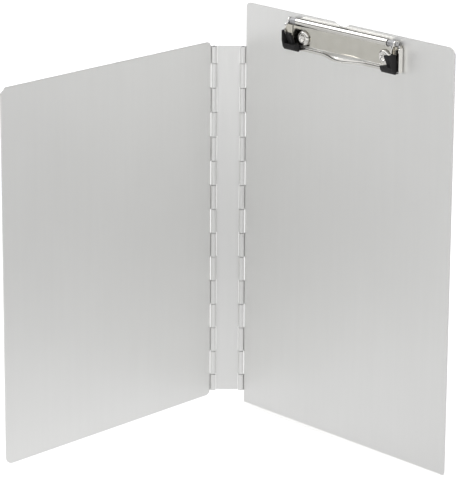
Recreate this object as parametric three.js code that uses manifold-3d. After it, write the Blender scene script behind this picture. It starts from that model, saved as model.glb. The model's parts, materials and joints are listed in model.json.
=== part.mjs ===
// A folio clipboard, standing open like a book: a tall board with a low-profile spring clip, a narrow
// spine, and a shorter cover. Two full-length piano hinges join them, rolled from the sheets themselves.
// Millimetres, +Z up. The spine lies along X at the back; the cover comes forward (-Y) on the left and
// the board on the right. The origin is the middle of the bounding box in X and Y, at the board's foot.

import * as THREE from 'three';
import { mergeVertices } from 'three/addons/utils/BufferGeometryUtils.js';
import Module from 'manifold-3d';

const wasm = await Module();
wasm.setup();

// Sheets and how they stand
const SHEET = 1.0;
const PANEL_WIDTH = 229;
const BOARD_HEIGHT = 333;
const COVER_HEIGHT = 292;
const COVER_FOOT = 9;
const OUTER_CORNER = 6;
const INNER_CORNER = 4;
const OPENING = THREE.MathUtils.degToRad(48); // each panel's turn forward from the spine's plane
const RUNNING_GAP = 0.3; // between any two pieces

// Hang notch in the board's top edge
const NOTCH_WIDTH = 16;
const NOTCH_DROP = 2.6;
const NOTCH_ACROSS = -4.5; // from the clip's middle

// Piano hinges
const AXIS_SPACING = 22.5;
const HINGE_FOOT = 12.5;
const FULL_KNUCKLE = 19.8;
const FULL_KNUCKLE_COUNT = 13;
const END_KNUCKLE = 13.7;
const KNUCKLE_SPLIT = 0.4;
const KNUCKLE_RADIUS = 2.25;
const KNUCKLE_NOTCH = 2.75; // from the hinge axis to the edge of the full-height sheet
const PIN_RADIUS = 0.95;
const PIN_PROUD = 0.4;
const PIN_CHAMFER = 0.3;

// Clip, measured from the middle of the board's top edge: across, out of the board's face, and below
const CLIP_SHEET = 1.0;
const PIVOT_BELOW = 5.6;
const BARREL_RADIUS = 3.1;
const BARREL_HALF = 49.5;
const PLATE_HALF = 62.5;
const PLATE_TOP = 9.5;
const PLATE_FOOT = 23.8;
const PLATE_TAB = 2.9; // width of the plate beside the lever's ear, from the flange in
const TAB_TOP = 6.3;
const FLANGE_TOP = 8.0;
const FLANGE_FOOT = 26.8;
const FLANGE_HEIGHT = 5;
const FLANGE_CORNER = 2;
const RIVET_ACROSS = 44;
const RIVET_BELOW = 17.6;
const RIVET_SHANK = 2.5;
const RIVET_HEAD = 5.75;
const RIVET_CROWN = [[0, 0.9], [2, 0.9], [2.5, 1.9], [3.9, 2.4], [5.1, 1.9]]; // [radius, height] of the head
const RIVET_RIM = 0.7;
const RIVET_TAIL = 4.4;
const RIVET_TAIL_HEIGHT = 0.9;
const WING_INNER = 57;
const WING_REAR = 1.7;
const EAR_RADIUS = 2.9;
const PEAK_OUT = 9.8;
const PEAK_BELOW = 12.0;
const RUN_TOP = 25.0;
const RUN_FOOT = 27.7;
const WING_TOE = 3.4; // how far out the wing's front edge is at the run's foot
const THUMB_HALF = 26;
const THUMB_RISE = 6.5;
const ROD_RADIUS = 1.2;
const ROD_HEAD_RADIUS = 2.0;
const ROD_HEAD_LENGTH = 0.9;

// Rubber boots on the lever's corners
const BOOT_TOP = 12.6;
const BOOT_FOOT = 28.3;
const BOOT_OUT = 11.5;
const BOOT_FRONT = [ // [out, below] along the cheek's and the leg's front, from the top down
  [BOOT_OUT - 0.6, BOOT_TOP],
  [BOOT_OUT, BOOT_TOP + 1],
  [BOOT_OUT - 1.4, 21],
  [BOOT_OUT - 2.4, 25.4],
  [BOOT_OUT - 4.0, 27.6],
  [BOOT_OUT - 6.0, BOOT_FOOT],
];
const BOOT_WALL = 2.0;
const BOOT_CORNER = 1.4; // chamfer of the outer front edge
const CHEEK_REAR = 4.0;
const CHEEK_HEEL = 25.4; // below this the cheek's rear edge slants forward
const LEG_INNER = 46.5;
const LEG_OUT = 10.2;
const LEG_TOP = 22.8;
const LEG_SLANT = 3.5; // how much shorter the leg is at the board than in front
const POST_INNER = 51.2;
const POST_OUT = 10.4;
const POST_WALL = 2.4;
const POST_FRONT = [
  [POST_OUT - 0.5, BOOT_TOP + 1.4],
  [POST_OUT, BOOT_TOP + 2.0],
  [POST_OUT - 3.0, 20.5],
  [POST_OUT - 3.6, LEG_TOP + 1],
];

// Torsion springs between the barrel's ends and the wings
const COIL_RADIUS = 2.35;
const COIL_WIRE = 0.3;
const COIL_PITCH = 0.9;
const COIL_TURNS = 6;
const COIL_STEPS = 14; // per turn
const COIL_END = 56.3; // where the outer leg leaves the coil, from the clip's middle
const HOOK_OUT = 8.5;
const HOOK_BELOW = 8.0;
const HOOK_LENGTH = 2.6;

// Derived values
const PLATE_OUT = RUNNING_GAP + CLIP_SHEET;
const PIVOT_OUT = RUNNING_GAP + BARREL_RADIUS;
const WING_OUTER = WING_INNER + CLIP_SHEET;
const RUN_REAR = WING_REAR;
const HINGE_HEIGHT = 2 * END_KNUCKLE + FULL_KNUCKLE_COUNT * FULL_KNUCKLE;
const FACE = KNUCKLE_RADIUS - SHEET; // from a hinge axis to the panel's inner face

const X = new THREE.Vector3(1, 0, 0);
const Y = new THREE.Vector3(0, 1, 0);
const Z = new THREE.Vector3(0, 0, 1);

// Placements of an outline: the first two axes carry its x and y, the third is the way it is extruded.
const UPWARD = new THREE.Matrix4();
const OUTWARD = new THREE.Matrix4().makeBasis(X, Z, Y.clone().negate());
const ACROSS = new THREE.Matrix4().makeBasis(Y, Z, X);
const ROLLED_ACROSS = new THREE.Matrix4().makeBasis(Z.clone().negate(), Y, X);

const aluminium = { color: 0xc9cbc9, roughness: 0.42, metalness: 1.0 };
const steel = { color: 0xa9abad, roughness: 0.35, metalness: 1.0 };
const nickel = { color: 0xc8c4bc, roughness: 0.18, metalness: 1.0 };
const rubber = { color: 0x1c1c1d, roughness: 0.75, metalness: 0.0 };

function solidFrom(geometry) {
  const bare = geometry.index ? geometry.toNonIndexed() : geometry.clone();
  bare.deleteAttribute('normal');
  bare.deleteAttribute('uv');
  const merged = mergeVertices(bare, 1e-4);
  return new wasm.Manifold(new wasm.Mesh({
    numProp: 3,
    vertProperties: new Float32Array(merged.attributes.position.array),
    triVerts: new Uint32Array(merged.index.array),
  }));
}

function pieceFrom(name, solid, finish) {
  const found = solid.getMesh();
  const geometry = new THREE.BufferGeometry();
  geometry.setAttribute('position', new THREE.BufferAttribute(found.vertProperties, 3));
  geometry.setIndex(new THREE.BufferAttribute(found.triVerts, 1));
  geometry.computeVertexNormals();
  const piece = new THREE.Mesh(geometry, new THREE.MeshStandardMaterial(finish));
  piece.name = name;
  return piece;
}

// A solid with the outline as its section, running from one level to another along the placement's
// third axis.
function prism(outline, placement, from, to, arcSteps = 8) {
  const geometry = new THREE.ExtrudeGeometry(outline, {
    depth: to - from,
    bevelEnabled: false,
    curveSegments: arcSteps,
  });
  geometry.translate(0, 0, from);
  geometry.applyMatrix4(placement);
  return solidFrom(geometry);
}

function polygon(points) {
  return new THREE.Shape(points.map(([x, y]) => new THREE.Vector2(x, y)));
}

// A section in the clip's side view, given as [out, below] pairs, for the ACROSS placement.
function sidePolygon(points) {
  return polygon(points.map(([out, below]) => [-out, -below]));
}

function mirrored(outline, side, arcSteps) {
  return polygon(outline.getPoints(arcSteps).map((point) => [side * point.x, point.y]));
}

// A prism across the clip between two distances from its middle, on the side given as +1 or -1.
function sideBlock(outline, side, inner, outer) {
  return side > 0 ? prism(outline, ACROSS, inner, outer) : prism(outline, ACROSS, -outer, -inner);
}

function unionOf(solids) {
  return solids.reduce((whole, next) => whole.add(next));
}

// A sheet's rolled edge, with the pin's axis at the origin. The sheet leaves towards +X, its outer
// face at +Y on the barrel's tangent, and the curl stops short of the sheet's inner face.
function rolledEdge(radius, thickness, reach) {
  const bore = radius - thickness;
  const start = Math.PI / 2;
  const stop = 2 * Math.PI + Math.asin((bore - RUNNING_GAP) / radius);
  const outline = new THREE.Shape();
  outline.moveTo(reach, radius);
  outline.lineTo(0, radius);
  outline.absarc(0, 0, radius, start, stop, false);
  outline.lineTo(bore * Math.cos(stop), bore * Math.sin(stop));
  outline.absarc(0, 0, bore, stop, start, true);
  outline.lineTo(reach, bore);
  return outline;
}

// Knuckles from the foot up: two short ones at the ends, full ones between. Every second one, from
// the first, belongs to the panel, and the others to the spine.
function knuckleSpans(isSpine) {
  const spans = [];
  let foot = HINGE_FOOT;
  for (let index = 0; index < FULL_KNUCKLE_COUNT + 2; index += 1) {
    const isEnd = index === 0 || index === FULL_KNUCKLE_COUNT + 1;
    const top = foot + (isEnd ? END_KNUCKLE : FULL_KNUCKLE);
    if ((index % 2 === 1) === isSpine) {
      spans.push([foot + KNUCKLE_SPLIT / 2, top - KNUCKLE_SPLIT / 2]);
    }
    foot = top;
  }
  return spans;
}

function knuckles(isSpine, side, axisX) {
  const section = mirrored(rolledEdge(KNUCKLE_RADIUS, SHEET, KNUCKLE_NOTCH + 1), side, 8);
  const placement = new THREE.Matrix4().makeTranslation(axisX, 0, 0);
  return knuckleSpans(isSpine).map(([from, to]) => prism(section, placement, from, to));
}

// A panel's sheet beside its hinge axis, with rounded corners. The board's has the hang notch.
function sheetOutline(foot, top, hasNotch) {
  const left = KNUCKLE_NOTCH;
  const right = PANEL_WIDTH;
  const quarter = Math.PI / 2;
  const outline = new THREE.Shape();
  outline.moveTo(left + INNER_CORNER, foot);
  outline.absarc(right - OUTER_CORNER, foot + OUTER_CORNER, OUTER_CORNER, -quarter, 0, false);
  outline.absarc(right - OUTER_CORNER, top - OUTER_CORNER, OUTER_CORNER, 0, quarter, false);
  if (hasNotch) {
    const half = NOTCH_WIDTH / 2;
    const radius = (half * half + NOTCH_DROP * NOTCH_DROP) / (2 * NOTCH_DROP);
    const turn = Math.asin(half / radius);
    const centre = right / 2 + NOTCH_ACROSS;
    outline.absarc(centre, top - NOTCH_DROP + radius, radius, turn - quarter, -turn - quarter, true);
  }
  outline.absarc(left + INNER_CORNER, top - INNER_CORNER, INNER_CORNER, quarter, 2 * quarter, false);
  outline.absarc(left + INNER_CORNER, foot + INNER_CORNER, INNER_CORNER, 2 * quarter, 3 * quarter, false);
  return outline;
}

function panel(foot, top, side, hasNotch) {
  const outline = mirrored(sheetOutline(foot, top, hasNotch), side, 6);
  const sheet = prism(outline, OUTWARD, -KNUCKLE_RADIUS, -FACE);
  return unionOf([sheet, ...knuckles(false, side, 0)]);
}

function spineStrip() {
  const half = AXIS_SPACING / 2;
  const flat = half - KNUCKLE_NOTCH;
  const top = HINGE_FOOT + HINGE_HEIGHT;
  const outline = polygon([[-flat, HINGE_FOOT], [flat, HINGE_FOOT], [flat, top], [-flat, top]]);
  const sheet = prism(outline, OUTWARD, -KNUCKLE_RADIUS, -FACE);
  return unionOf([sheet, ...knuckles(true, 1, -half), ...knuckles(true, -1, half)]);
}

function hingePin() {
  const foot = HINGE_FOOT - PIN_PROUD;
  const top = HINGE_FOOT + HINGE_HEIGHT + PIN_PROUD;
  const profile = [
    [0, foot],
    [PIN_RADIUS - PIN_CHAMFER, foot],
    [PIN_RADIUS, foot + PIN_CHAMFER],
    [PIN_RADIUS, top - PIN_CHAMFER],
    [PIN_RADIUS - PIN_CHAMFER, top],
    [0, top],
  ];
  return turned(profile, 16, new THREE.Matrix4().makeRotationX(Math.PI / 2));
}

// A turned solid from [radius, height] pairs, with its axis on Y before it is placed.
function turned(profile, segments, placement) {
  const points = profile.map(([radius, height]) => new THREE.Vector2(radius, height));
  return solidFrom(new THREE.LatheGeometry(points, segments).applyMatrix4(placement));
}

// Round holes for the rivets, through whatever lies at the rivets' places
function rivetHoles() {
  const radius = RIVET_SHANK + RUNNING_GAP;
  return unionOf([-1, 1].map((side) => {
    const hole = new THREE.CylinderGeometry(radius, radius, 10, 24);
    hole.translate(side * RIVET_ACROSS, 0, -RIVET_BELOW);
    return solidFrom(hole);
  }));
}

function rivet(side) {
  const under = -PLATE_OUT - RUNNING_GAP;
  const back = SHEET + RUNNING_GAP;
  const profile = [
    ...RIVET_CROWN.map(([radius, height]) => [radius, under - height]),
    [RIVET_HEAD, under - RIVET_RIM],
    [RIVET_HEAD, under],
    [RIVET_SHANK, under],
    [RIVET_SHANK, back],
    [RIVET_TAIL, back],
    [RIVET_TAIL - 0.4, back + RIVET_TAIL_HEIGHT],
    [0, back + RIVET_TAIL_HEIGHT],
  ];
  return turned(profile, 28, new THREE.Matrix4().makeTranslation(side * RIVET_ACROSS, 0, -RIVET_BELOW));
}

function clipBasePlate() {
  const section = rolledEdge(BARREL_RADIUS, CLIP_SHEET, PLATE_TOP - PIVOT_BELOW + 1);
  const pivot = new THREE.Matrix4().makeTranslation(0, -PIVOT_OUT, -PIVOT_BELOW).multiply(ROLLED_ACROSS);
  const barrel = prism(section, pivot, -BARREL_HALF, BARREL_HALF, 10);
  const rightEdge = [
    [PLATE_HALF - PLATE_TAB, -PLATE_TOP],
    [PLATE_HALF - PLATE_TAB, -TAB_TOP],
    [PLATE_HALF, -TAB_TOP],
    [PLATE_HALF, -FLANGE_FOOT],
    [PLATE_HALF - CLIP_SHEET, -FLANGE_FOOT],
    [PLATE_HALF - CLIP_SHEET, -PLATE_FOOT],
  ];
  const leftEdge = rightEdge.map(([across, up]) => [-across, up]).reverse();
  const plate = prism(polygon([...rightEdge, ...leftEdge]), OUTWARD, RUNNING_GAP, PLATE_OUT);
  const crest = RUNNING_GAP + FLANGE_HEIGHT;
  const flangeSection = sidePolygon([
    [RUNNING_GAP, FLANGE_TOP],
    [RUNNING_GAP, FLANGE_FOOT],
    [crest - FLANGE_CORNER, FLANGE_FOOT],
    [crest, FLANGE_FOOT - FLANGE_CORNER],
    [crest, FLANGE_TOP + FLANGE_CORNER],
    [crest - FLANGE_CORNER, FLANGE_TOP],
  ]);
  const flanges = [-1, 1].map((side) => (
    sideBlock(flangeSection, side, PLATE_HALF - CLIP_SHEET, PLATE_HALF)));
  return unionOf([barrel, plate, ...flanges]).subtract(rivetHoles());
}

// The wing's side view: an ear round the pivot, a front edge that rises to a peak and falls back to
// the paper, and a straight rear edge that clears the base plate.
function wingSection() {
  const outline = new THREE.Path();
  outline.absarc(PIVOT_OUT, PIVOT_BELOW, EAR_RADIUS, 0.78 * Math.PI, 1.9 * Math.PI, false);
  outline.lineTo(PEAK_OUT - 0.5, PEAK_BELOW - 1.2);
  outline.quadraticCurveTo(PEAK_OUT + 0.3, PEAK_BELOW + 0.8, PEAK_OUT - 0.3, PEAK_BELOW + 2.2);
  outline.lineTo(WING_TOE, RUN_FOOT);
  outline.lineTo(WING_REAR, RUN_FOOT);
  outline.lineTo(WING_REAR, PLATE_TOP);
  return sidePolygon(outline.getPoints(7).map((point) => [point.x, point.y]));
}

// The lever's lower run in plan: a strip across the foot of both wings that bows out in the middle
// into a thumb tab.
function runOutline() {
  const steps = 18;
  const rear = [-WING_OUTER];
  for (let index = 0; index <= steps; index += 1) {
    rear.push(-THUMB_HALF + (2 * THUMB_HALF * index) / steps);
  }
  rear.push(WING_OUTER);
  const bow = (across) => THUMB_RISE * Math.cos((Math.PI * across) / (2 * THUMB_HALF)) ** 2;
  const out = (across) => RUN_REAR + (Math.abs(across) < THUMB_HALF ? bow(across) : 0);
  const rearEdge = rear.map((across) => [across, -out(across)]);
  const frontEdge = rear.map((across) => [across, -out(across) - CLIP_SHEET]).reverse();
  return polygon([...rearEdge, ...frontEdge]);
}

function clipLever() {
  const radius = ROD_RADIUS + RUNNING_GAP;
  const hole = new THREE.CylinderGeometry(radius, radius, 2 * PLATE_HALF, 20);
  hole.rotateZ(Math.PI / 2);
  hole.translate(0, -PIVOT_OUT, -PIVOT_BELOW);
  const wings = [-1, 1].map((side) => sideBlock(wingSection(), side, WING_INNER, WING_OUTER));
  const run = prism(runOutline(), UPWARD, -RUN_FOOT, -RUN_TOP);
  return unionOf([...wings, run]).subtract(solidFrom(hole));
}

function pivotRod() {
  const neck = WING_OUTER + RUNNING_GAP;
  const end = neck + ROD_HEAD_LENGTH;
  const profile = [
    [0, -end],
    [ROD_HEAD_RADIUS - 0.4, -end],
    [ROD_HEAD_RADIUS, -neck - 0.4],
    [ROD_HEAD_RADIUS, -neck],
    [ROD_RADIUS, -neck],
    [ROD_RADIUS, neck],
    [ROD_HEAD_RADIUS, neck],
    [ROD_HEAD_RADIUS, neck + 0.4],
    [ROD_HEAD_RADIUS - 0.4, end],
    [0, end],
  ];
  const placement = new THREE.Matrix4().makeTranslation(0, -PIVOT_OUT, -PIVOT_BELOW);
  return turned(profile, 18, placement.multiply(new THREE.Matrix4().makeRotationZ(Math.PI / 2)));
}

// A torsion spring: a coil round the rod beside the barrel's end, and a leg that leaves it and hooks
// over the front edge of the wing.
function torsionSpring(side) {
  const hookAngle = Math.atan2(HOOK_BELOW - PIVOT_BELOW, HOOK_OUT - PIVOT_OUT);
  const hookDistance = Math.hypot(HOOK_BELOW - PIVOT_BELOW, HOOK_OUT - PIVOT_OUT);
  const leaveAngle = hookAngle - Math.acos(COIL_RADIUS / hookDistance);
  const place = (across, out, below) => new THREE.Vector3(side * across, -out, -below);
  const points = [];
  for (let step = COIL_TURNS * COIL_STEPS; step >= 0; step -= 1) {
    const turnsLeft = step / COIL_STEPS;
    const angle = leaveAngle - 2 * Math.PI * turnsLeft;
    const out = PIVOT_OUT + COIL_RADIUS * Math.cos(angle);
    const below = PIVOT_BELOW + COIL_RADIUS * Math.sin(angle);
    points.push(place(COIL_END - COIL_PITCH * turnsLeft, out, below));
  }
  points.push(place(COIL_END, HOOK_OUT - 0.6, HOOK_BELOW - 0.6));
  points.push(place(COIL_END + 0.5, HOOK_OUT, HOOK_BELOW));
  points.push(place(COIL_END + HOOK_LENGTH, HOOK_OUT, HOOK_BELOW));
  const wire = new THREE.Shape().absarc(0, 0, COIL_WIRE, 0, 2 * Math.PI, false);
  const section = polygon(wire.getPoints(3).slice(0, -1).map((point) => [point.x, point.y]));
  return solidFrom(new THREE.ExtrudeGeometry(section, {
    steps: points.length + 8,
    bevelEnabled: false,
    extrudePath: new THREE.CatmullRomCurve3(points),
  }));
}

// A rubber boot: an outer cheek, a thin inner post and a leg along the run, slotted for the wing and
// the run. Only the leg joins cheek and post, so the wing's front edge shows in the slot between them.
function boot(side) {
  const wingOutside = WING_OUTER + RUNNING_GAP;
  const wingInside = WING_INNER - RUNNING_GAP;
  const outer = wingOutside + BOOT_WALL;
  const plateClear = PLATE_OUT + 2 * RUNNING_GAP;
  const boardClear = RUNNING_GAP + 0.1;
  const plan = (points, from, to) => (
    prism(polygon(points.map(([across, out]) => [side * across, -out])), UPWARD, -to, -from));
  const outerFront = [[outer, BOOT_OUT - BOOT_CORNER], [outer - BOOT_CORNER, BOOT_OUT]];
  const frontSection = sidePolygon([[0, BOOT_TOP], ...BOOT_FRONT, [0, BOOT_FOOT]]);
  const cheek = plan([
    [wingOutside, CHEEK_REAR],
    [outer, CHEEK_REAR],
    ...outerFront,
    [wingOutside, BOOT_OUT],
  ], BOOT_TOP, BOOT_FOOT);
  const cheekRear = sideBlock(sidePolygon([
    [0, BOOT_TOP - 1],
    [7, BOOT_TOP - 1],
    [CHEEK_REAR, FLANGE_FOOT - 5],
    [CHEEK_REAR, CHEEK_HEEL],
    [CHEEK_REAR + 3.6, BOOT_FOOT + 1],
    [0, BOOT_FOOT + 1],
  ]), side, WING_OUTER, outer + 1);
  const leg = (rear, from, to) => plan([
    [LEG_INNER + LEG_SLANT, rear],
    [WING_INNER, rear],
    [outer, Math.max(rear, CHEEK_REAR)],
    ...outerFront,
    [WING_INNER, LEG_OUT + 0.6],
    [LEG_INNER, LEG_OUT],
    [LEG_INNER, CHEEK_REAR + 0.6],
  ], from, to);
  const postRear = POST_FRONT.map(([out, below]) => [out - POST_WALL, below]).reverse();
  const post = sideBlock(sidePolygon([...POST_FRONT, ...postRear]), side, POST_INNER, wingInside)
    .intersect(plan([
      [POST_INNER, 0],
      [wingInside, 0],
      [wingInside, POST_OUT - 1.2],
      [POST_INNER, POST_OUT],
    ], BOOT_TOP, BOOT_FOOT));
  const wingSlot = sideBlock(sidePolygon([
    [-1, PEAK_BELOW - 2],
    [PEAK_OUT + 0.5, PEAK_BELOW - 2],
    [PEAK_OUT + 0.4, PEAK_BELOW + 2],
    [WING_TOE + 0.5, RUN_FOOT + RUNNING_GAP],
    [-1, RUN_FOOT + RUNNING_GAP],
  ]), side, wingInside, wingOutside);
  const runSlot = sideBlock(sidePolygon([
    [RUN_REAR - RUNNING_GAP, RUN_TOP - RUNNING_GAP],
    [RUN_REAR + CLIP_SHEET + RUNNING_GAP, RUN_TOP - RUNNING_GAP],
    [RUN_REAR + CLIP_SHEET + RUNNING_GAP, RUN_FOOT + RUNNING_GAP],
    [RUN_REAR - RUNNING_GAP, RUN_FOOT + RUNNING_GAP],
  ]), side, LEG_INNER - 1, WING_INNER);
  const lowerLeg = leg(boardClear, PLATE_FOOT + 2 * RUNNING_GAP, BOOT_FOOT);
  return unionOf([cheek, leg(plateClear, LEG_TOP, RUN_TOP), lowerLeg])
    .intersect(sideBlock(frontSection, side, LEG_INNER, outer))
    .subtract(cheekRear)
    .add(post)
    .subtract(wingSlot)
    .subtract(runSlot);
}

// The clip's frame: its origin is the middle of the board's top edge, on the board's inner face.
const clip = new THREE.Group();
clip.position.set(PANEL_WIDTH / 2, FACE, BOARD_HEIGHT);
clip.add(pieceFrom('clip_base_plate', clipBasePlate(), nickel));
clip.add(pieceFrom('clip_lever', clipLever(), nickel));
clip.add(pieceFrom('clip_pivot_rod', pivotRod(), steel));
for (const [side, word] of [[-1, 'left'], [1, 'right']]) {
  clip.add(pieceFrom(`clip_rivet_${word}`, rivet(side), nickel));
  clip.add(pieceFrom(`clip_spring_${word}`, torsionSpring(side), steel));
  clip.add(pieceFrom(`lever_boot_${word}`, boot(side), rubber));
}

// Each side's frame has its hinge axis as Z and its panel's outer face towards +Y.
const boardSide = new THREE.Group();
boardSide.position.x = AXIS_SPACING / 2;
boardSide.rotation.z = -OPENING;
const holes = rivetHoles().translate([PANEL_WIDTH / 2, FACE, BOARD_HEIGHT]);
boardSide.add(pieceFrom('board', panel(0, BOARD_HEIGHT, 1, true).subtract(holes), aluminium));
boardSide.add(pieceFrom('board_hinge_pin', hingePin(), steel));
boardSide.add(clip);

const coverSide = new THREE.Group();
coverSide.position.x = -AXIS_SPACING / 2;
coverSide.rotation.z = OPENING;
coverSide.add(pieceFrom('cover', panel(COVER_FOOT, COVER_FOOT + COVER_HEIGHT, -1, false), aluminium));
coverSide.add(pieceFrom('cover_hinge_pin', hingePin(), steel));

const folio = new THREE.Group();
folio.add(boardSide, coverSide, pieceFrom('spine', spineStrip(), aluminium));
folio.updateMatrixWorld(true);
const bounds = new THREE.Box3().setFromObject(folio, true);
const middle = bounds.getCenter(new THREE.Vector3());
folio.position.set(-middle.x, -middle.y, -bounds.min.z);

export default folio;
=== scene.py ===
"""The looks of a folio clipboard: brushed aluminium board, spine and cover on two rolled piano hinges,
and a low-profile nickel clip with rubber boots. Pieces are modelled in millimetres in the frame of the
sheet that they belong to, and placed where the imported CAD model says."""

import json
import math

import bmesh
import bpy
from mathutils import Matrix, Vector


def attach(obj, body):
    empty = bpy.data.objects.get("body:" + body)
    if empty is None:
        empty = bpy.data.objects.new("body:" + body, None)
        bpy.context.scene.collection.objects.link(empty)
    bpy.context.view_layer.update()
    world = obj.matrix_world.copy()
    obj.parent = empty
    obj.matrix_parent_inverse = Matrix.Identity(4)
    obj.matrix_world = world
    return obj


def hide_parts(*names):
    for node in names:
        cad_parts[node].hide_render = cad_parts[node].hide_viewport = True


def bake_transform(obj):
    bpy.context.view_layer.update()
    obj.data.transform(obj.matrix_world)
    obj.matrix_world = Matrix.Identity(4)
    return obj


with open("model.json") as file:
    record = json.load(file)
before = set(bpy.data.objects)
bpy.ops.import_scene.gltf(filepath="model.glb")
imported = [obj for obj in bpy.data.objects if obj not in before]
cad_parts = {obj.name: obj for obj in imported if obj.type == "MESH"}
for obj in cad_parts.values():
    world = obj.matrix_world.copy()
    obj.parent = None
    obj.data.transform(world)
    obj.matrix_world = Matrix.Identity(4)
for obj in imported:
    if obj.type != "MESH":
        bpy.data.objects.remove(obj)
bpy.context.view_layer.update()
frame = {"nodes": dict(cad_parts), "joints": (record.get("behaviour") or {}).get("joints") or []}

MM = 0.001

# Sheet metal
SHEET = 1.0
PANEL_CORNER = 6.0
ROOT_CORNER = 4.0
ROOT = 2.45  # from a hinge axis to the edge of the full-height sheet
SHEET_EDGE = 0.13
KNUCKLE_COUNT = 15
FULL_KNUCKLE = 19.8
KNUCKLE_SPLIT = 0.4
CURL_GAP = 0.3
CURL_STEPS = 36
PIN_CHAMFER = 0.3
PIN_TAPER = 0.25  # what the chamfer takes off the pin's radius
HANG_NOTCH_WIDTH = 16.0
HANG_NOTCH_DROP = 2.6
HANG_NOTCH_ACROSS = -4.5  # from the clip's middle

# Clip, in its own frame: across the board, out of its face, and below its top edge
PIVOT_BELOW = 5.6
BARREL_HALF = 49.5
BARREL_RADIUS = 3.1
PLATE_TOP = 9.5
PLATE_FOOT = 23.8
PLATE_OUT = 0.8  # middle of the plate's thickness
PLATE_TAB = 2.9  # width of the plate beside the lever's ear, from the flange in
PLATE_EAR = 3.3  # width of the plate's foot below the flange, from the flange in
PLATE_EAR_NICK = 0.6
PLATE_EDGE = 0.16
FLANGE_BEND = 1.2
BEND_STEPS = 6
TAB_TOP = 6.3
TAB_NICK = 0.4
TAB_LEAN = 0.8  # how far the tab's top runs out past the flange's bend
FLANGE_TOP = 8.0
FLANGE_OUT = 5.3
FLANGE_CORNER = 1.8
RIVET_ACROSS = 44.0
RIVET_BELOW = 17.6
RIVET_SHANK = 2.5
RIVET_CROWN = [  # (radius, height over the plate, rounding)
    (0, 0.7, 0), (1.6, 0.75, 0.5), (2.15, 1.7, 0.5), (3.4, 2.4, 0.8), (4.9, 2.0, 0.7)]
RIVET_RIM = 0.9
RIVET_TAIL = [  # (radius, depth under the tail's end, rounding)
    (4.1, 0.1, 0.3), (2.2, 0, 0.3), (1.5, 0.7, 0.3), (0, 0.8, 0)]
RIVET_TAIL_RADIUS = 4.4
RIVET_TAIL_GAP = 0.3  # between the sheet's back and the tail
ROD_RADIUS = 1.2
ROD_HEAD = 2.0
ROD_HEAD_LENGTH = 0.9
ROD_CHAMFER = 0.4
ROD_TIP = 1.5
WING_ACROSS = 57.5
WING_REAR = 1.7
EAR_RADIUS = 2.9
EAR_FRONT = 342  # where the ear's round starts and stops, in degrees about the pivot
EAR_REAR = 140
WING_HOLE = 1.35
PEAK_OUT = 9.8
PEAK_BELOW = 12.0
WING_PEAK = [  # (out, below): where the peak's curve starts, what it bends towards, and where it stops
    (PEAK_OUT - 0.3, PEAK_BELOW + 2.2),
    (PEAK_OUT + 0.3, PEAK_BELOW + 0.8),
    (PEAK_OUT - 0.5, PEAK_BELOW - 1.2),
]
WING_FOOT_GAP = 0.6  # between the wing's rear edge and the run's top
LEVER_EDGE = 0.18
RUN_OUT = 2.2  # middle of the run's thickness
RUN_TOP = 25.0
RUN_FOOT = 27.7
RUN_BULGE = 0.35
RUN_STATIONS = [29, 34, 42, 50]  # across, between the thumb tab and a wing
RUN_ROWS = 8
WING_TOE = 3.4
THUMB_HALF = 26.0
THUMB_RISE = 6.2
THUMB_DROP = 0.4
THUMB_LEAN = 0.15  # the share of the tab's rise that its top edge lacks
THUMB_STEPS = 20
COIL_RADIUS = 2.35
COIL_START_RADIUS = 1.75  # inside the barrel's end
COIL_WIRE = 0.3
COIL_PITCH = 0.66
COIL_TURNS = 11
COIL_STEPS = 24  # per turn
COIL_END = 56.3
HOOK_OUT = 8.5
HOOK_BELOW = 8.0
HOOK_LENGTH = 2.6
HOOK_BEND = 0.7
LEG_STATIONS = (0.3, 0.6, 0.86)  # along the spring's leg, up to where the hook's bend starts
BOOT_EDGE = 0.45

# Camera and stage
CAMERA_AT = Vector((0.0110, -2.1732, 0.7838))
CAMERA_TURN = math.radians(-0.269)
CAMERA_TILT = math.radians(-16.063)
CAMERA_ROLL = math.radians(0.315)
LENS = 214.6
FLOOR_HALF = 30.0
FLOOR_GLOW = 0.76
CARD_HALF = 6.0
CARD_HEIGHT = 0.003
CARD_LIGHT = [(-1.4, 1.16), (-0.9, 0.97), (-0.52, 0.34), (-0.22, 0.71), (0.0, 0.74)]  # (Y, strength)
CARD_LEFT = 1.16
CARD_RIGHT = 0.92
CARD_TURNOVER = 0.3  # half the width over which the card goes from its left to its right strength
DARK_CARD_BACK = 1.6
DARK_CARD_FOOT = 0.55
DARK_CARD_TOP = 1.9
DARK_CARD_LEFT = -1.2
DARK_CARD_RIGHT = 0.9
ROOM_DARK_TO = 0.10  # sine of the elevation
ROOM_BRIGHT_FROM = 0.40
ROOM_LOW = 0.06
ROOM_HIGH = 0.95
LEFT_LIGHT_AT = (-1.4, 0.8, 1.7)
LEFT_LIGHT_SIZE = 1.2
LEFT_LIGHT_POWER = 9
LIGHT_AIM = Vector((0, 0, 0.2))

# ---------------------------------------------------------------- frames


def sheet_frame(origin, along):
    """Millimetres to metres, with X along a sheet, Y out of its back and Z up."""
    back = Vector((0, 0, 1)).cross(along)
    turn = Matrix((along, back, (0, 0, 1))).transposed().to_4x4()
    return Matrix.Translation(origin) @ turn @ Matrix.Scale(MM, 4)


def local_box(node, place):
    """The lowest and highest corner of a CAD node in one of those frames, in millimetres."""
    inverse = place.inverted()
    points = [inverse @ v.co for v in frame["nodes"][node].data.vertices]
    low = Vector(min(p[i] for p in points) for i in range(3))
    high = Vector(max(p[i] for p in points) for i in range(3))
    return low, high


joints = {joint["name"]: joint for joint in frame["joints"]}
board_axis = Vector(joints["board_hinge"]["pos_m"])
cover_axis = Vector(joints["cover_hinge"]["pos_m"])
lever_axis = Vector(joints["clip_lever_pivot"]["axis"]).normalized()
board_along = -lever_axis
cover_along = Vector((board_along.x, -board_along.y, 0))

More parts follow.
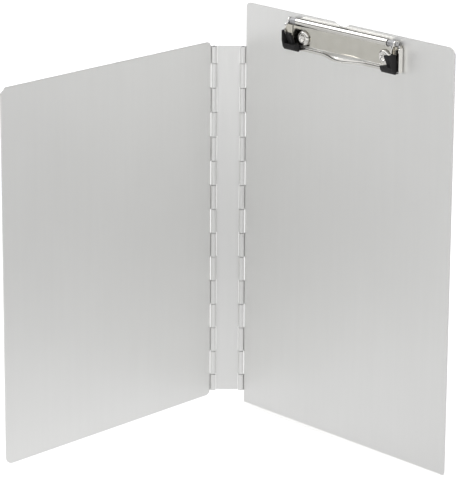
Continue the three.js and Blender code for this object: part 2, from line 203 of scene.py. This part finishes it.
board_frame = sheet_frame(Vector((board_axis.x, board_axis.y, 0)), board_along)
cover_frame = sheet_frame(Vector((cover_axis.x, cover_axis.y, 0)), cover_along)
spine_frame = sheet_frame(Vector(((board_axis.x + cover_axis.x) / 2, board_axis.y, 0)), Vector((1, 0, 0)))

board_low, board_high = local_box("board", board_frame)
cover_low, cover_high = local_box("cover", cover_frame)
spine_low, spine_high = local_box("spine", spine_frame)

KNUCKLE_RADIUS = board_high.y
FACE = KNUCKLE_RADIUS - SHEET
MIDDLE = KNUCKLE_RADIUS - SHEET / 2
PANEL_WIDTH = board_high.x
AXIS_HALF = (board_axis.x - cover_axis.x) / 2 / MM
HINGE_FOOT = spine_low.z
END_KNUCKLE = (spine_high.z - spine_low.z - (KNUCKLE_COUNT - 2) * FULL_KNUCKLE) / 2

clip_frame = board_frame @ Matrix.Translation((PANEL_WIDTH / 2, FACE, board_high.z))
plate_low, plate_high = local_box("clip_base_plate", clip_frame)
rod_low, rod_high = local_box("clip_pivot_rod", clip_frame)
PIVOT_OUT = -(rod_low.y + rod_high.y) / 2
PLATE_HALF = plate_high.x
FLANGE_FOOT = -plate_low.z


def clip_point(across, out, below):
    return Vector((across, -out, -below))


# ---------------------------------------------------------------- materials


class Shader:
    """A material's node tree with short calls for the few nodes that this script uses."""

    def __init__(self, name):
        self.material = bpy.data.materials.new(name)
        self.material.use_nodes = True
        self.tree = self.material.node_tree
        self.surface = self.tree.nodes["Principled BSDF"]

    def node(self, kind, **settings):
        made = self.tree.nodes.new(kind)
        for key, value in settings.items():
            setattr(made, key, value)
        return made

    def link(self, source, target):
        self.tree.links.new(source, target)

    def place(self, scale):
        """Object coordinates, in metres, stretched by a scale for each axis."""
        where = self.node("ShaderNodeTexCoord")
        stretch = self.node("ShaderNodeMapping")
        stretch.inputs["Scale"].default_value = scale
        self.link(where.outputs["Object"], stretch.inputs["Vector"])
        return stretch.outputs["Vector"]

    def noise(self, vector, scale, detail=2.0, roughness=0.5):
        made = self.node("ShaderNodeTexNoise")
        made.inputs["Scale"].default_value = scale
        made.inputs["Detail"].default_value = detail
        made.inputs["Roughness"].default_value = roughness
        self.link(vector, made.inputs["Vector"])
        return made.outputs["Fac"]

    def spread(self, value, low, high, from_low=0.3, from_high=0.7):
        made = self.node("ShaderNodeMapRange")
        made.inputs["From Min"].default_value = from_low
        made.inputs["From Max"].default_value = from_high
        made.inputs["To Min"].default_value = low
        made.inputs["To Max"].default_value = high
        self.link(value, made.inputs["Value"])
        return made.outputs["Result"]

    def mix(self, factor, first, second):
        made = self.node("ShaderNodeMix", data_type="RGBA")
        made.inputs["A"].default_value = (*first, 1)
        made.inputs["B"].default_value = (*second, 1)
        self.link(factor, made.inputs["Factor"])
        return made.outputs["Result"]

    def bump(self, height, strength, distance, after=None):
        made = self.node("ShaderNodeBump")
        made.inputs["Strength"].default_value = strength
        made.inputs["Distance"].default_value = distance
        self.link(height, made.inputs["Height"])
        if after:
            self.link(after, made.inputs["Normal"])
        return made.outputs["Normal"]

    def set(self, name, value):
        if isinstance(value, bpy.types.NodeSocket):
            self.link(value, self.surface.inputs[name])
        else:
            self.surface.inputs[name].default_value = value


def brushed_aluminium():
    """Satin sheet with a fine grain that runs up and down, so that it blurs what it reflects sideways."""
    shader = Shader("brushed_aluminium")
    grain = shader.noise(shader.place((1, 1, 0.012)), 2600, 4, 0.65)
    bands = shader.noise(shader.place((1, 1, 0.05)), 240, 3, 0.6)
    clouds = shader.noise(shader.place((1, 1, 1)), 9, 2)
    tone = shader.node("ShaderNodeMath", operation="ADD")
    shader.link(shader.spread(bands, -0.2, 0.2), tone.inputs[0])
    shader.link(shader.spread(clouds, 0.2, 0.8), tone.inputs[1])
    shader.set("Base Color", shader.mix(tone.outputs[0], (0.895, 0.895, 0.885), (0.925, 0.925, 0.915)))
    shader.set("Metallic", 1.0)
    shader.set("Roughness", shader.spread(grain, 0.34, 0.46))
    shader.set("Normal", shader.bump(grain, 0.06, 0.00004))
    grain_way = shader.node("ShaderNodeCombineXYZ")
    grain_way.inputs["Z"].default_value = 1.0
    shader.set("Tangent", grain_way.outputs["Vector"])
    shader.set("Anisotropic", 0.6)
    shader.set("Anisotropic Rotation", 0.25)
    return shader.material


def nickel(name, dark, light, roughness):
    """Nickel plate over steel, with faint smears in its tone and gloss and a trace of the rolled grain."""
    shader = Shader(name)
    grain = shader.noise(shader.place((0.02, 0.02, 1)), 3800, 3, 0.6)
    smears = shader.noise(shader.place((1, 1, 1)), 160, 3)
    shader.set("Base Color", shader.mix(shader.spread(smears, 0, 1), dark, light))
    shader.set("Metallic", 1.0)
    shader.set("Roughness", shader.spread(smears, roughness - 0.03, roughness + 0.05))
    shader.set("Normal", shader.bump(grain, 0.05, 0.00003))
    return shader.material


def drawn_steel():
    """Bright wire and rod with faint lengthwise drawing marks."""
    shader = Shader("drawn_steel")
    grain = shader.noise(shader.place((1, 1, 0.03)), 3000, 3)
    shader.set("Base Color", shader.mix(shader.spread(grain, 0, 1), (0.50, 0.50, 0.51), (0.62, 0.62, 0.63)))
    shader.set("Metallic", 1.0)
    shader.set("Roughness", shader.spread(grain, 0.24, 0.38))
    shader.set("Normal", shader.bump(grain, 0.1, 0.00003))
    return shader.material


def black_rubber():
    """Moulded rubber: nearly black, with a fine pebble, a dusty bloom and slightly glossier patches."""
    shader = Shader("moulded_rubber")
    pebble = shader.noise(shader.place((1, 1, 1)), 4200, 3, 0.6)
    bloom = shader.noise(shader.place((1, 1, 1)), 260, 4, 0.6)
    dusty = shader.spread(bloom, 0, 1)
    shader.set("Base Color", shader.mix(dusty, (0.009, 0.009, 0.010), (0.020, 0.019, 0.020)))
    shader.set("Roughness", shader.spread(bloom, 0.50, 0.72))
    shader.set("Normal", shader.bump(pebble, 0.35, 0.00005))
    shader.set("Specular IOR Level", 0.35)
    return shader.material


ALUMINIUM = brushed_aluminium()
BRIGHT_NICKEL = nickel("bright_nickel", (0.80, 0.785, 0.75), (0.86, 0.845, 0.815), 0.07)
# A darker copy of the same nickel for the plate's flat face, as painted shade; its barrel and flanges keep
# the bright nickel.
SHADED_PLATE_NICKEL = nickel("plate_nickel_painted_shade", (0.60, 0.585, 0.535), (0.66, 0.645, 0.595), 0.12)
STEEL = drawn_steel()
RUBBER = black_rubber()

# ---------------------------------------------------------------- mesh tools


def object_from(bm, name, place, material):
    """Turns a bmesh, in millimetres in a frame, into a smooth object in the scene."""
    bmesh.ops.remove_doubles(bm, verts=bm.verts, dist=1e-5)
    bmesh.ops.recalc_face_normals(bm, faces=bm.faces)
    mesh = bpy.data.meshes.new(name)
    bm.to_mesh(mesh)
    bm.free()
    mesh.transform(place)
    mesh.polygons.foreach_set("use_smooth", [True] * len(mesh.polygons))
    mesh.materials.append(material)
    made = bpy.data.objects.new(name, mesh)
    bpy.context.scene.collection.objects.link(made)
    return made


def piece_from(bm, name, place, material, body, node):
    """Makes such an object and lets it ride a body, in place of a CAD node."""
    piece = object_from(bm, name, place, material)
    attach(piece, body)
    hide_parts(node)
    return piece


def thicken(piece, thickness=SHEET):
    """Gives a sheet modelled at the middle of its thickness its two faces and its sheared edges."""
    made = piece.modifiers.new("thickness", "SOLIDIFY")
    made.thickness = thickness * MM
    made.offset = 0
    made.use_even_offset = True


def soften(piece, width, segments=2, angle=35):
    """Rounds the edges that are sharper than an angle."""
    made = piece.modifiers.new("edges", "BEVEL")
    made.width = width * MM
    made.segments = segments
    made.limit_method = "ANGLE"
    made.angle_limit = math.radians(angle)
    made.harden_normals = True


def corner(centre_x, centre_z, radius, start, stop, steps=8):
    """Points of a round corner, from one angle to another in degrees."""
    angles = [math.radians(start + (stop - start) * i / steps) for i in range(steps + 1)]
    return [(centre_x + radius * math.cos(a), centre_z + radius * math.sin(a)) for a in angles]


def curve(start, pull, stop, steps):
    """Points of a curve from start to stop that bends towards pull."""
    shares = [i / steps for i in range(steps + 1)]
    return [start * (1 - t) ** 2 + pull * 2 * t * (1 - t) + stop * t * t for t in shares]


def add_tab(bm, first, second, offsets):
    """Grows a strip from the edge between two vertices, through a list of offsets from that edge, and
    gives its last two vertices."""
    rows = [(first, second)]
    starts = (first.co.copy(), second.co.copy())
    for offset in offsets:
        rows.append(tuple(bm.verts.new(start + Vector(offset)) for start in starts))
    for (a, b), (c, d) in zip(rows, rows[1:]):
        bm.faces.new((a, b, d, c))
    return rows[-1]


def curl_stop(radius):
    """The angle at which a rolled edge of that radius stops short of its own sheet."""
    return 2 * math.pi + math.asin((radius - SHEET - CURL_GAP) / radius)


def turned(profile, steps, axis):
    """A bmesh turned from (radius, height) pairs about an axis, given as 'X', 'Y' or 'Z'."""
    bm = bmesh.new()
    rings = []
    for radius, height in profile:
        if radius < 1e-6:
            rings.append([bm.verts.new((0, 0, height))])
            continue
        angles = [2 * math.pi * i / steps for i in range(steps)]
        rings.append([bm.verts.new((radius * math.cos(a), radius * math.sin(a), height)) for a in angles])
    for lower, upper in zip(rings, rings[1:]):
        for i in range(steps):
            j = (i + 1) % steps
            below = [lower[i % len(lower)], lower[j % len(lower)]]
            above = [upper[j % len(upper)], upper[i % len(upper)]]
            bm.faces.new(list(dict.fromkeys(below + above)))
    turn = {"X": Matrix.Rotation(math.pi / 2, 4, "Y"), "Y": Matrix.Rotation(-math.pi / 2, 4, "X")}
    bm.transform(turn.get(axis, Matrix.Identity(4)))
    return bm


def rounded_profile(points, steps=5):
    """(radius, height) corners, each given with a rounding, as a smooth profile."""
    profile = []
    for i, (radius, height, rounding) in enumerate(points):
        here = Vector((radius, height))
        if rounding == 0 or i in (0, len(points) - 1):
            profile.append((radius, height))
            continue
        before = (Vector(points[i - 1][:2]) - here).normalized() * rounding + here
        after = (Vector(points[i + 1][:2]) - here).normalized() * rounding + here
        profile += [tuple(point) for point in curve(before, here, after, steps)]
    return profile


def tube(points, radius, steps=12):
    """A bmesh tube with round ends along points."""
    bm = bmesh.new()
    count = len(points)
    ahead = [(points[min(i + 1, count - 1)] - points[max(i - 1, 0)]).normalized() for i in range(count)]
    side = ahead[0].orthogonal().normalized()
    rings = []
    for i in range(count):
        side = (side - ahead[i] * side.dot(ahead[i])).normalized()
        up = ahead[i].cross(side)
        shares = [(1.0, 0.0)]
        if i == 0:
            shares = [(0.5, -0.8), (0.87, -0.5), (1.0, 0.0)]
        elif i == count - 1:
            shares = [(1.0, 0.0), (0.87, 0.5), (0.5, 0.8)]
        for width, push in shares:
            centre = points[i] + ahead[i] * push * radius
            angles = [2 * math.pi * k / steps for k in range(steps)]
            rings.append([bm.verts.new(centre + (side * math.cos(a) + up * math.sin(a)) * width * radius)
                          for a in angles])
    for lower, upper in zip(rings, rings[1:]):
        for k in range(steps):
            bm.faces.new((lower[k], lower[(k + 1) % steps], upper[(k + 1) % steps], upper[k]))
    bm.faces.new(rings[0])
    bm.faces.new(rings[-1])
    return bm


# ---------------------------------------------------------------- board, spine and cover


def knuckle_spans(is_spine):
    """The stretches of a hinge that belong to the spine, or to the panel, from the foot up."""
    spans = []
    foot = HINGE_FOOT
    for index in range(KNUCKLE_COUNT):
        top = foot + (END_KNUCKLE if index in (0, KNUCKLE_COUNT - 1) else FULL_KNUCKLE)
        if (index % 2 == 1) == is_spine:
            spans.append((foot + KNUCKLE_SPLIT / 2, top - KNUCKLE_SPLIT / 2))
        foot = top
    return spans


def knuckle_offsets(towards):
    """A knuckle's rolled strip, from the sheet's root towards the hinge axis, -1 or +1 along X."""
    radius = KNUCKLE_RADIUS - SHEET / 2
    offsets = [(ROOT, 0.0)]
    start = math.pi / 2
    stop = curl_stop(KNUCKLE_RADIUS)
    for i in range(1, CURL_STEPS + 1):
        angle = start + (stop - start) * i / CURL_STEPS
        offsets.append((ROOT - radius * math.cos(angle), radius * math.sin(angle) - radius))
    return [(towards * away, back, 0) for away, back in offsets]


def sheet_bmesh(loop, roots):
    """A flat sheet from a loop of (x, z) points, at the middle of its thickness, with its knuckles.
    roots lists (x, low z, high z, towards) for each knuckle that leaves the loop."""
    bm = bmesh.new()
    made = {}
    for x, z in loop:
        made[(round(x, 4), round(z, 4))] = bm.verts.new((x, MIDDLE, z))
    bm.faces.new(list(made.values()))
    for x, low, high, towards in roots:
        first = made[(round(x, 4), round(low, 4))]
        second = made[(round(x, 4), round(high, 4))]
        add_tab(bm, first, second, knuckle_offsets(towards))
    return bm


def panel(name, low, high, side, place, body, notch):
    """The board or the cover: a sheet with round corners, and knuckles along the edge by its hinge."""
    foot, top = low.z, high.z
    spans = knuckle_spans(False)
    right = PANEL_WIDTH
    loop = corner(right - PANEL_CORNER, foot + PANEL_CORNER, PANEL_CORNER, -90, 0)
    loop += corner(right - PANEL_CORNER, top - PANEL_CORNER, PANEL_CORNER, 0, 90)
    if notch:
        half = HANG_NOTCH_WIDTH / 2
        radius = (half * half + HANG_NOTCH_DROP ** 2) / (2 * HANG_NOTCH_DROP)
        turn = math.degrees(math.asin(half / radius))
        centre = right / 2 + HANG_NOTCH_ACROSS
        loop += corner(centre, top - HANG_NOTCH_DROP + radius, radius, turn - 90, -turn - 90, 14)
    loop += corner(ROOT + ROOT_CORNER, top - ROOT_CORNER, ROOT_CORNER, 90, 180)
    loop += [(ROOT, z) for span in reversed(spans) for z in reversed(span)]
    loop += corner(ROOT + ROOT_CORNER, foot + ROOT_CORNER, ROOT_CORNER, 180, 270)
    loop = [(side * x, z) for x, z in loop]
    roots = [(side * ROOT, span[0], span[1], -side) for span in spans]
    bm = sheet_bmesh(loop, roots)
    piece = piece_from(bm, f"{name}_sheet", place, ALUMINIUM, body, name)
    thicken(piece)
    soften(piece, SHEET_EDGE)
    return piece


def spine():
    """The strip between the panels, with knuckles along both edges."""
    half = AXIS_HALF - ROOT
    spans = knuckle_spans(True)
    left = [(-half, z) for span in spans for z in span]
    right = [(half, z) for span in reversed(spans) for z in reversed(span)]
    foot, top = spine_low.z, spine_high.z
    loop = [(-half, foot), *left, (-half, top), (half, top), *right, (half, foot)]
    roots = [(side * half, low, high, side) for side in (-1, 1) for low, high in spans]
    bm = sheet_bmesh(loop, roots)
    piece = piece_from(bm, "spine_sheet", spine_frame, ALUMINIUM, "spine", "spine")
    thicken(piece)
    soften(piece, SHEET_EDGE)
    return piece


def hinge_pin(node, place, body):
    """A rod the length of its hinge, chamfered at both ends."""
    low, high = local_box(node, place)
    radius = (high.x - low.x) / 2
    tip = radius - PIN_TAPER
    profile = rounded_profile([
        (0, low.z, 0), (tip, low.z, 0.1), (radius, low.z + PIN_CHAMFER, 0.15),
        (radius, high.z - PIN_CHAMFER, 0.15), (tip, high.z, 0.1), (0, high.z, 0)])
    return piece_from(turned(profile, 32, "Z"), f"{node}_rod", place, STEEL, body, node)


panel("board", board_low, board_high, 1, board_frame, "board", True)
panel("cover", cover_low, cover_high, -1, cover_frame, "cover", False)
spine()
hinge_pin("board_hinge_pin", board_frame, "board")
hinge_pin("cover_hinge_pin", cover_frame, "spine")

# ---------------------------------------------------------------- clip


def flange(bm, top, foot, side):
    """Turns the plate's end up into a wall with round corners, from the edge between two vertices."""
    turns = [math.pi / 2 * i / BEND_STEPS for i in range(1, BEND_STEPS + 1)]
    fold = [(side * FLANGE_BEND * math.sin(a), -FLANGE_BEND * (1 - math.cos(a)), 0) for a in turns]
    top, foot = add_tab(bm, top, foot, fold)
    crest = FLANGE_OUT - FLANGE_CORNER
    across = top.co.x
    outline = corner(crest, FLANGE_FOOT - FLANGE_CORNER, FLANGE_CORNER, 90, 0)
    outline += corner(crest, FLANGE_TOP + FLANGE_CORNER, FLANGE_CORNER, 0, -90)
    bm.faces.new([top, foot] + [bm.verts.new(clip_point(across, out, below)) for out, below in outline])


def base_plate():
    """The riveted plate: rolled into a barrel along its top, with an upturned flange at each end."""
    bm = bmesh.new()
    bend = PLATE_HALF - SHEET / 2 - FLANGE_BEND
    tab = PLATE_HALF - PLATE_TAB
    ear = bend - PLATE_EAR
    right = [
        (BARREL_HALF, PLATE_TOP),
        (tab - TAB_NICK, PLATE_TOP),
        (tab, PLATE_TOP - TAB_NICK),
        (tab, TAB_TOP),
        (bend + TAB_LEAN, TAB_TOP),
        (bend, FLANGE_TOP),
        (bend, FLANGE_FOOT),
        (ear + PLATE_EAR_NICK, FLANGE_FOOT),
        (ear, FLANGE_FOOT - PLATE_EAR_NICK),
        (ear, PLATE_FOOT),
    ]
    loop = right + [(-across, below) for across, below in reversed(right)]
    verts = [bm.verts.new(clip_point(across, PLATE_OUT, below)) for across, below in loop]
    bm.faces.new(verts)
    radius = BARREL_RADIUS - SHEET / 2
    rise = PLATE_TOP - PIVOT_BELOW
    offsets = [(0, 0, rise)]
    stop = curl_stop(BARREL_RADIUS)
    for i in range(1, CURL_STEPS + 1):
        angle = math.pi / 2 + (stop - math.pi / 2) * i / CURL_STEPS
        offsets.append((0, radius * math.sin(angle) - radius, rise - radius * math.cos(angle)))
    add_tab(bm, verts[-1], verts[0], offsets)
    fold = right.index((bend, FLANGE_TOP))
    flange(bm, verts[fold], verts[fold + 1], 1)
    flange(bm, verts[-1 - fold], verts[-2 - fold], -1)
    # Painted shade: the flat face takes the darker copy of the nickel, while the barrel and the flanges
    # take the bright one.
    for face in bm.faces:
        middle = face.calc_center_median()
        face.material_index = int(-middle.z < PLATE_TOP or abs(middle.x) > bend)
    piece = piece_from(
        bm, "clip_plate", clip_frame, SHADED_PLATE_NICKEL, "board", "clip_base_plate")
    piece.data.materials.append(BRIGHT_NICKEL)
    thicken(piece)
    soften(piece, PLATE_EDGE)
    return piece


def thumb_bow(across):
    """How much of the thumb tab's rise there is at a distance from the clip's middle."""
    if abs(across) >= THUMB_HALF:
        return 0.0
    return math.cos(math.pi * across / (2 * THUMB_HALF)) ** 2


def wing(bm, across, run_end):
    """A wing in two faces round its hole for the rod: the ear above, and the plate below it, which joins
    the end of the run."""
    peak = curve(*(Vector(point) for point in WING_PEAK), 7)

    def verts(points):
        return [bm.verts.new(clip_point(across, out, below)) for out, below in points]

    front = verts([(WING_TOE, RUN_FOOT), *peak])
    rear = verts([(WING_REAR, PLATE_TOP), (WING_REAR, RUN_TOP - WING_FOOT_GAP)])
    ear = verts(corner(PIVOT_OUT, PIVOT_BELOW, EAR_RADIUS, EAR_FRONT, EAR_REAR, 24))
    rim = verts(corner(PIVOT_OUT, PIVOT_BELOW, WING_HOLE, EAR_REAR, EAR_FRONT, 18))
    lower_rim = verts(corner(PIVOT_OUT, PIVOT_BELOW, WING_HOLE, EAR_FRONT, EAR_REAR + 360, 14)[1:-1])
    bm.faces.new(ear + rim)
    bm.faces.new(front + [ear[0], rim[-1]] + lower_rim + [rim[0], ear[-1]] + rear + run_end)


def lever():
    """One pressing: two wings and a slightly rounded run between them, whose middle bows out as a thumb
    tab."""
    bm = bmesh.new()
    beside = [*RUN_STATIONS, WING_ACROSS]
    columns = [-across for across in reversed(beside)]
    columns += [THUMB_HALF * (i / THUMB_STEPS) for i in range(-THUMB_STEPS, THUMB_STEPS + 1)]
    columns += beside
    grid = []
    for across in columns:
        bow = thumb_bow(across)
        column = []
        for row in range(RUN_ROWS + 1):
            t = row / RUN_ROWS
            bulge = RUN_BULGE * math.sin(math.pi * t)
            out = RUN_OUT + THUMB_RISE * bow * (1 - THUMB_LEAN * (1 - t)) + bulge
            below = RUN_TOP + (RUN_FOOT - RUN_TOP + THUMB_DROP * bow) * t
            column.append(bm.verts.new(clip_point(across, out, below)))
        grid.append(column)
    for left, right in zip(grid, grid[1:]):
        for row in range(RUN_ROWS):
            bm.faces.new((left[row], right[row], right[row + 1], left[row + 1]))
    wing(bm, -WING_ACROSS, grid[0])
    wing(bm, WING_ACROSS, grid[-1])
    piece = piece_from(
        bm, "clip_lever_pressing", clip_frame, BRIGHT_NICKEL, "lever", "clip_lever")
    thicken(piece)
    soften(piece, LEVER_EDGE)
    return piece


def rivet(word, side):
    """A rivet with a dished crown in front of the plate and a turned tail behind the board."""
    node = f"clip_rivet_{word}"
    low, high = local_box(node, clip_frame)
    under = -2 * PLATE_OUT
    head = (high.x - low.x) / 2
    back = SHEET + RIVET_TAIL_GAP
    profile = rounded_profile([
        *((radius, under - height, rounding) for radius, height, rounding in RIVET_CROWN),
        (head, under - RIVET_RIM, 0.5),
        (head, under, 0.2),
        (RIVET_SHANK, under, 0),
        (RIVET_SHANK, back, 0),
        (RIVET_TAIL_RADIUS, back, 0.1),
        *((radius, high.y - depth, rounding) for radius, depth, rounding in RIVET_TAIL),
    ])
    place = clip_frame @ Matrix.Translation((side * RIVET_ACROSS, 0, -RIVET_BELOW))
    bm = turned(profile, 72, "Y")
    return piece_from(bm, f"rivet_{word}", place, BRIGHT_NICKEL, "board", node)


def pivot_rod():
    """The rod through barrel and wings, with a peened head at each end."""
    end = local_box("clip_pivot_rod", clip_frame)[1].x
    neck = end - ROD_HEAD_LENGTH
    left = [
        (0, -end, 0),
        (ROD_TIP, -end, 0.4),
        (ROD_HEAD, -end + ROD_CHAMFER, 0.25),
        (ROD_HEAD, -neck, 0.1),
        (ROD_RADIUS, -neck, 0),
    ]
    right = [(radius, -height, rounding) for radius, height, rounding in reversed(left)]
    bm = turned(rounded_profile(left + right), 40, "X")
    place = clip_frame @ Matrix.Translation(clip_point(0, PIVOT_OUT, PIVOT_BELOW))
    return piece_from(bm, "pivot_rod", place, STEEL, "board", "clip_pivot_rod")


def spring(word, side):
    """A torsion spring: its coil starts inside the barrel's end, and a leg runs from it to a hook."""
    hook = Vector((HOOK_OUT - PIVOT_OUT, HOOK_BELOW - PIVOT_BELOW))
    leave = math.atan2(hook.y, hook.x) - math.acos(COIL_RADIUS / hook.length)
    points = []
    for step in range(COIL_TURNS * COIL_STEPS, -1, -1):
        back = step / COIL_STEPS
        angle = leave - 2 * math.pi * back
        across = COIL_END - COIL_PITCH * back
        outside = min(max((across - BARREL_HALF - COIL_WIRE) / COIL_PITCH, 0), 1)
        radius = COIL_START_RADIUS + (COIL_RADIUS - COIL_START_RADIUS) * outside
        points.append(clip_point(
            side * across, PIVOT_OUT + radius * math.cos(angle), PIVOT_BELOW + radius * math.sin(angle)))
    bend = clip_point(side * COIL_END, HOOK_OUT, HOOK_BELOW)
    leg = [points[-1].lerp(bend, share) for share in LEG_STATIONS]
    after = clip_point(side * (COIL_END + HOOK_BEND), HOOK_OUT, HOOK_BELOW)
    points += leg + curve(leg[-1], bend, after, 6)[1:]
    points.append(clip_point(side * (COIL_END + HOOK_LENGTH), HOOK_OUT, HOOK_BELOW))
    piece = object_from(tube(points, COIL_WIRE), f"spring_{word}", clip_frame, STEEL)
    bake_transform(piece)
    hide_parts(f"clip_spring_{word}")
    return piece


def boot(word):
    """A rubber boot: the CAD solid's own shape, with its moulded edges rounded."""
    node = f"lever_boot_{word}"
    bm = bmesh.new()
    bm.from_mesh(frame["nodes"][node].data)
    bmesh.ops.remove_doubles(bm, verts=bm.verts, dist=1e-6)
    bmesh.ops.dissolve_limit(bm, angle_limit=math.radians(2), verts=bm.verts, edges=bm.edges)
    bm.transform(clip_frame.inverted())
    piece = piece_from(bm, f"boot_{word}", clip_frame, RUBBER, "lever", node)
    soften(piece, BOOT_EDGE, 4, 25)
    return piece


base_plate()
lever()
pivot_rod()
for word, side in (("left", -1), ("right", 1)):
    rivet(word, side)
    spring(word, side)
    boot(word)

# ---------------------------------------------------------------- stage, light and camera


def card(name, corners, material):
    """A flat four-cornered piece of the stage."""
    mesh = bpy.data.meshes.new(name)
    mesh.from_pydata(corners, [], [(0, 1, 2, 3)])
    mesh.materials.append(material)
    made = bpy.data.objects.new(name, mesh)
    bpy.context.scene.collection.objects.link(made)
    return made


def show_in_reflections_only(made):
    """Leaves a card to be seen in reflections, and nowhere else."""
    made.visible_camera = False
    made.visible_diffuse = False
    made.visible_shadow = False


def square(half, height):
    """The corners of a level square about the origin."""
    return [(x * half, y * half, height) for x, y in ((-1, -1), (1, -1), (1, 1), (-1, 1))]


def floor():
    """A plain pale floor with a faint glow of its own, so that it stays even out to its edges."""
    shader = Shader("pale_floor")
    speck = shader.noise(shader.place((1, 1, 1)), 30, 2)
    shader.set("Base Color", shader.mix(speck, (0.56, 0.56, 0.56), (0.58, 0.58, 0.58)))
    shader.set("Roughness", 0.9)
    shader.set("Specular IOR Level", 0.0)
    shader.set("Emission Color", (1, 1, 1, 1))
    shader.set("Emission Strength", FLOOR_GLOW)
    card("floor", square(FLOOR_HALF, 0), shader.material)


def mirror_card():
    """A card on the floor for the metal to reflect: bright at a distance, dark in a soft band nearer, and
    brighter on the left than on the right."""
    shader = Shader("mirror_card")
    where = shader.node("ShaderNodeTexCoord")
    parts = shader.node("ShaderNodeSeparateXYZ")
    shader.link(where.outputs["Object"], parts.inputs["Vector"])
    near, far = CARD_LIGHT[-1][0], CARD_LIGHT[0][0]
    ramp = shader.node("ShaderNodeValToRGB")
    ramp.color_ramp.interpolation = "B_SPLINE"
    shader.link(shader.spread(parts.outputs["Y"], 0, 1, far, near), ramp.inputs["Fac"])
    stops = ramp.color_ramp.elements
    while len(stops) < len(CARD_LIGHT):
        stops.new(1.0)
    for stop, (y, strength) in zip(stops, CARD_LIGHT):
        stop.position = (y - far) / (near - far)
        stop.color = (strength, strength, strength, 1)
    light = shader.node("ShaderNodeMath", operation="MULTIPLY")
    shader.link(ramp.outputs["Color"], light.inputs[0])
    sides = shader.spread(parts.outputs["X"], CARD_LEFT, CARD_RIGHT, -CARD_TURNOVER, CARD_TURNOVER)
    shader.link(sides, light.inputs[1])
    shader.set("Base Color", (0, 0, 0, 1))
    shader.set("Specular IOR Level", 0.0)
    shader.set("Emission Color", (1, 1, 1, 1))
    shader.set("Emission Strength", light.outputs[0])
    show_in_reflections_only(card("mirror_card", square(CARD_HALF, CARD_HEIGHT), shader.material))


def dark_card():
    """A black upright card behind the object, whose reflection is the dark line along the clip's barrel."""
    shader = Shader("dark_card")
    shader.set("Base Color", (0.02, 0.02, 0.02, 1))
    shader.set("Roughness", 1.0)
    corners = [
        (DARK_CARD_LEFT, DARK_CARD_BACK, DARK_CARD_FOOT),
        (DARK_CARD_RIGHT, DARK_CARD_BACK, DARK_CARD_FOOT),
        (DARK_CARD_RIGHT, DARK_CARD_BACK, DARK_CARD_TOP),
        (DARK_CARD_LEFT, DARK_CARD_BACK, DARK_CARD_TOP),
    ]
    show_in_reflections_only(card("dark_card", corners, shader.material))


def soft_light(name, place, size, power):
    """A square soft light aimed at the middle of the object."""
    data = bpy.data.lights.new(name, "AREA")
    data.size = size
    data.energy = power
    made = bpy.data.objects.new(name, data)
    made.location = place
    made.rotation_euler = (LIGHT_AIM - Vector(place)).to_track_quat("-Z", "Y").to_euler()
    bpy.context.scene.collection.objects.link(made)


def studio():
    """A pale room that is dark only low down, so that polished edges have something to show. The camera
    itself sees a plain pale backdrop."""
    world = bpy.data.worlds.new("studio")
    bpy.context.scene.world = world
    world.use_nodes = True
    tree = world.node_tree
    way = tree.nodes.new("ShaderNodeTexCoord")
    parts = tree.nodes.new("ShaderNodeSeparateXYZ")
    rise = tree.nodes.new("ShaderNodeMapRange")
    rise.interpolation_type = "SMOOTHSTEP"
    rise.inputs["From Min"].default_value = ROOM_DARK_TO
    rise.inputs["From Max"].default_value = ROOM_BRIGHT_FROM
    rise.inputs["To Min"].default_value = ROOM_LOW
    rise.inputs["To Max"].default_value = ROOM_HIGH
    ray = tree.nodes.new("ShaderNodeLightPath")
    strength = tree.nodes.new("ShaderNodeMath")
    strength.operation = "MAXIMUM"
    tree.links.new(way.outputs["Generated"], parts.inputs["Vector"])
    tree.links.new(parts.outputs["Z"], rise.inputs["Value"])
    tree.links.new(rise.outputs["Result"], strength.inputs[0])
    tree.links.new(ray.outputs["Is Camera Ray"], strength.inputs[1])
    tree.links.new(strength.outputs[0], tree.nodes["Background"].inputs["Strength"])
    tree.nodes["Background"].inputs["Color"].default_value = (1, 1, 1, 1)
    soft_light("left_light", LEFT_LIGHT_AT, LEFT_LIGHT_SIZE, LEFT_LIGHT_POWER)
    bpy.context.scene.view_settings.view_transform = "Standard"


def camera():
    """A long lens in front and above, which looks along +Y and down at the object."""
    data = bpy.data.cameras.new("camera")
    data.lens = LENS
    data.clip_end = 100
    made = bpy.data.objects.new("camera", data)
    ahead = Vector((
        math.sin(CAMERA_TURN) * math.cos(CAMERA_TILT),
        math.cos(CAMERA_TURN) * math.cos(CAMERA_TILT),
        math.sin(CAMERA_TILT)))
    right = Vector((math.cos(CAMERA_TURN), -math.sin(CAMERA_TURN), 0))
    up = right.cross(ahead)
    turn = Matrix((right, up, -ahead)).transposed().to_4x4()
    made.matrix_world = Matrix.Translation(CAMERA_AT) @ turn @ Matrix.Rotation(CAMERA_ROLL, 4, "Z")
    bpy.context.scene.collection.objects.link(made)
    bpy.context.scene.camera = made


floor()
mirror_card()
dark_card()
studio()
camera()
